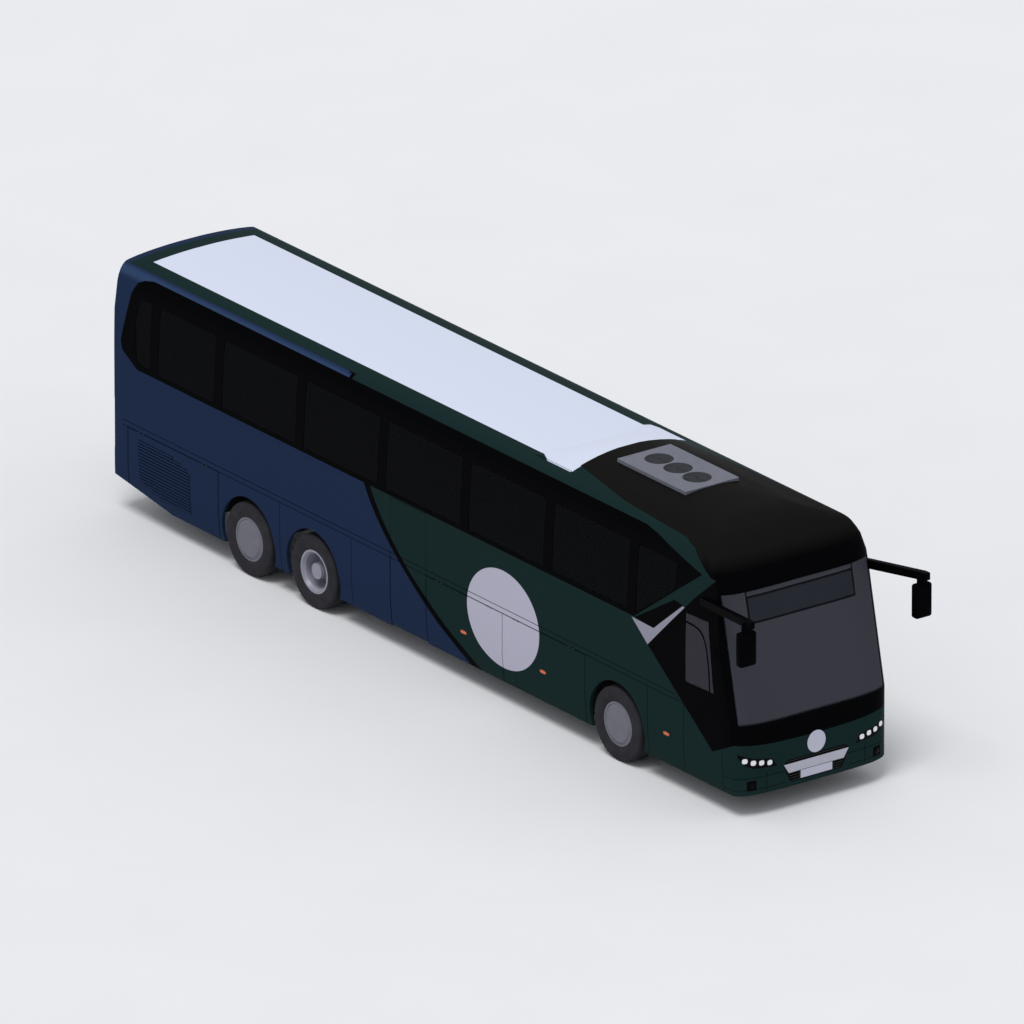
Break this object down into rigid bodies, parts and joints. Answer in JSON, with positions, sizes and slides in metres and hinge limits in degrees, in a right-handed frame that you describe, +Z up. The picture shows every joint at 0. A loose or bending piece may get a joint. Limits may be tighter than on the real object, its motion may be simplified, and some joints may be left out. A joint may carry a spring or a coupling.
{
  "type": "coach bus",
  "caption": "Three-axle touring coach with a raised roof cap, swing-out doors, luggage flaps, steered front wheels and free-turning wheels.",
  "frame": {"origin": "on the ground at the middle of the coach's overall box, mirrors included", "axes": "+Y to the rear, +X to the coach's left side, +Z up"},
  "size_m": [3.1584, 14.556, 3.747],
  "materials": {
    "frame_steel": "satin black paint",
    "deck": "matt floor covering",
    "body_paint": "gloss two-tone blue and green paint with a black stripe",
    "roof_paint": "gloss white paint with a green border",
    "black_gloss": "gloss black",
    "front_paint": "gloss dark green paint",
    "tinted_glass": "dark tinted glass",
    "screen_glass": "tinted glass",
    "lamp": "clear lens over a dark housing",
    "tail_lamp": "red lens",
    "black_plastic": "grained black plastic",
    "steel": "zinc plated",
    "rubber": "matt",
    "tyre": "matt tread rubber",
    "wheel_paint": "silver grey paint",
    "engine_iron": "grey",
    "grey_panel": "satin grey paint",
    "seat_fabric": "woven upholstery"
  },
  "bodies": {
    "coach": {"chassis": "frame_steel", "cabin_floor": "deck", "stairwells": "deck", "right_wall": "body_paint", "left_wall": "body_paint", "roof": "roof_paint", "roof_fairing": "roof_paint", "front_cap": "black_gloss", "front_panel": "front_paint", "rear_panel": "body_paint", "windscreen": "screen_glass", "right_windows": "tinted_glass", "left_windows": "tinted_glass", "rear_window": "tinted_glass", "headlights": "lamp", "front_grille": "black_gloss", "tail_lamps": "tail_lamp", "mirrors": "black_gloss", "wheel_housings": "black_plastic", "hinge_pins": "steel", "front_axle": "frame_steel", "drive_axle": "frame_steel", "tag_axle": "frame_steel", "air_springs": "rubber", "engine": "engine_iron", "dashboard": "black_plastic", "steering_wheel": "black_plastic", "driver_seat": "seat_fabric", "seat_frames": "frame_steel", "seat_cushions": "seat_fabric", "seat_backs": "seat_fabric", "roof_unit": "grey_panel"},
    "front_door": {"front_door": "front_paint", "front_door_glass": "tinted_glass"},
    "front_door_arm": {"front_door_arm": "frame_steel"},
    "mid_door": {"mid_door": "body_paint"},
    "mid_door_arm": {"mid_door_arm": "frame_steel"},
    "engine_door": {"engine_door": "body_paint"},
    "right_knuckle": {"right_knuckle": "frame_steel"},
    "left_knuckle": {"left_knuckle": "frame_steel"},
    "tie_rod": {"tie_rod": "frame_steel"},
    "right_flap_front": {"right_flap_front": "body_paint"},
    "right_flap_rear": {"right_flap_rear": "body_paint"},
    "right_service_flap": {"right_service_flap": "body_paint"},
    "left_flap_front": {"left_flap_front": "body_paint"},
    "left_flap_middle": {"left_flap_middle": "body_paint"},
    "left_flap_rear": {"left_flap_rear": "body_paint"},
    "left_service_flap": {"left_service_flap": "body_paint"},
    "front_right_wheel": {"front_right_tyre": "tyre", "front_right_wheel": "wheel_paint"},
    "front_left_wheel": {"front_left_tyre": "tyre", "front_left_wheel": "wheel_paint"},
    "tag_right_wheel": {"tag_right_tyre": "tyre", "tag_right_wheel": "wheel_paint"},
    "tag_left_wheel": {"tag_left_tyre": "tyre", "tag_left_wheel": "wheel_paint"},
    "drive_right_wheels": {"drive_right_tyres": "tyre", "drive_right_wheel": "wheel_paint"},
    "drive_left_wheels": {"drive_left_tyres": "tyre", "drive_left_wheel": "wheel_paint"}
  },
  "joints": [
    {"name": "front_door_swing", "type": "hinge", "parent": "coach", "child": "front_door_arm", "pos_m": [1.145, -5.938, 0.8], "axis": [0, 0, -1], "range_deg": [0, 140]},
    {"name": "front_door_turn", "type": "hinge", "parent": "front_door_arm", "child": "front_door", "pos_m": [1.145, -5.578, 0.8], "axis": [0, 0, -1], "range_deg": [-140, 0]},
    {"name": "mid_door_swing", "type": "hinge", "parent": "coach", "child": "mid_door_arm", "pos_m": [-1.145, 0.697, 0.8], "axis": [0, 0, -1], "range_deg": [0, 140]},
    {"name": "mid_door_turn", "type": "hinge", "parent": "mid_door_arm", "child": "mid_door", "pos_m": [-1.145, 0.337, 0.8], "axis": [0, 0, -1], "range_deg": [-140, 0]},
    {"name": "right_flap_front_lift", "type": "hinge", "parent": "coach", "child": "right_flap_front", "pos_m": [-1.275, -2.493, 1.29], "axis": [0, 1, 0], "range_deg": [0, 90]},
    {"name": "right_flap_rear_lift", "type": "hinge", "parent": "coach", "child": "right_flap_rear", "pos_m": [-1.275, -0.7305, 1.29], "axis": [0, 1, 0], "range_deg": [0, 90]},
    {"name": "right_service_flap_lift", "type": "hinge", "parent": "coach", "child": "right_service_flap", "pos_m": [-1.275, 5.822, 1.29], "axis": [0, 1, 0], "range_deg": [0, 90]},
    {"name": "left_flap_front_lift", "type": "hinge", "parent": "coach", "child": "left_flap_front", "pos_m": [1.275, -2.493, 1.29], "axis": [0, -1, 0], "range_deg": [0, 90]},
    {"name": "left_flap_middle_lift", "type": "hinge", "parent": "coach", "child": "left_flap_middle", "pos_m": [1.275, -0.7305, 1.29], "axis": [0, -1, 0], "range_deg": [0, 90]},
    {"name": "left_flap_rear_lift", "type": "hinge", "parent": "coach", "child": "left_flap_rear", "pos_m": [1.275, 0.957, 1.29], "axis": [0, -1, 0], "range_deg": [0, 90]},
    {"name": "left_service_flap_lift", "type": "hinge", "parent": "coach", "child": "left_service_flap", "pos_m": [1.275, 5.822, 1.29], "axis": [0, -1, 0], "range_deg": [0, 90]},
    {"name": "engine_door_lift", "type": "hinge", "parent": "coach", "child": "engine_door", "pos_m": [0, 7.272, 1.552], "axis": [1, 0, 0], "range_deg": [0, 80]},
    {"name": "steering_right", "type": "hinge", "parent": "coach", "child": "right_knuckle", "pos_m": [-0.9985, -4.098, 0.5], "axis": [0, 0, 1], "range_deg": [-40, 40]},
    {"name": "steering_left", "type": "hinge", "parent": "coach", "child": "left_knuckle", "pos_m": [0.9985, -4.098, 0.5], "axis": [0, 0, 1], "range_deg": [-40, 40]},
    {"name": "tie_rod_turn", "type": "hinge", "parent": "right_knuckle", "child": "tie_rod", "pos_m": [-0.9985, -3.918, 0.35], "axis": [0, 0, 1], "range_deg": [-40, 40]},
    {"name": "front_right_roll", "type": "hinge", "parent": "right_knuckle", "child": "front_right_wheel", "pos_m": [-1.1235, -4.098, 0.522], "axis": [1, 0, 0], "continuous": true},
    {"name": "front_left_roll", "type": "hinge", "parent": "left_knuckle", "child": "front_left_wheel", "pos_m": [1.1235, -4.098, 0.522], "axis": [1, 0, 0], "continuous": true},
    {"name": "drive_right_roll", "type": "hinge", "parent": "coach", "child": "drive_right_wheels", "pos_m": [-1.1235, 2.662, 0.522], "axis": [1, 0, 0], "continuous": true},
    {"name": "tag_right_roll", "type": "hinge", "parent": "coach", "child": "tag_right_wheel", "pos_m": [-1.1235, 4.127, 0.522], "axis": [1, 0, 0], "continuous": true},
    {"name": "drive_left_roll", "type": "hinge", "parent": "coach", "child": "drive_left_wheels", "pos_m": [1.1235, 2.662, 0.522], "axis": [1, 0, 0], "continuous": true},
    {"name": "tag_left_roll", "type": "hinge", "parent": "coach", "child": "tag_left_wheel", "pos_m": [1.1235, 4.127, 0.522], "axis": [1, 0, 0], "continuous": true}
  ],
  "couplings": [
    {"joint": "front_door_turn", "follows": "front_door_swing", "ratio": -1},
    {"joint": "mid_door_turn", "follows": "mid_door_swing", "ratio": -1},
    {"joint": "steering_left", "follows": "steering_right", "ratio": 1},
    {"joint": "tie_rod_turn", "follows": "steering_right", "ratio": -1}
  ]
}
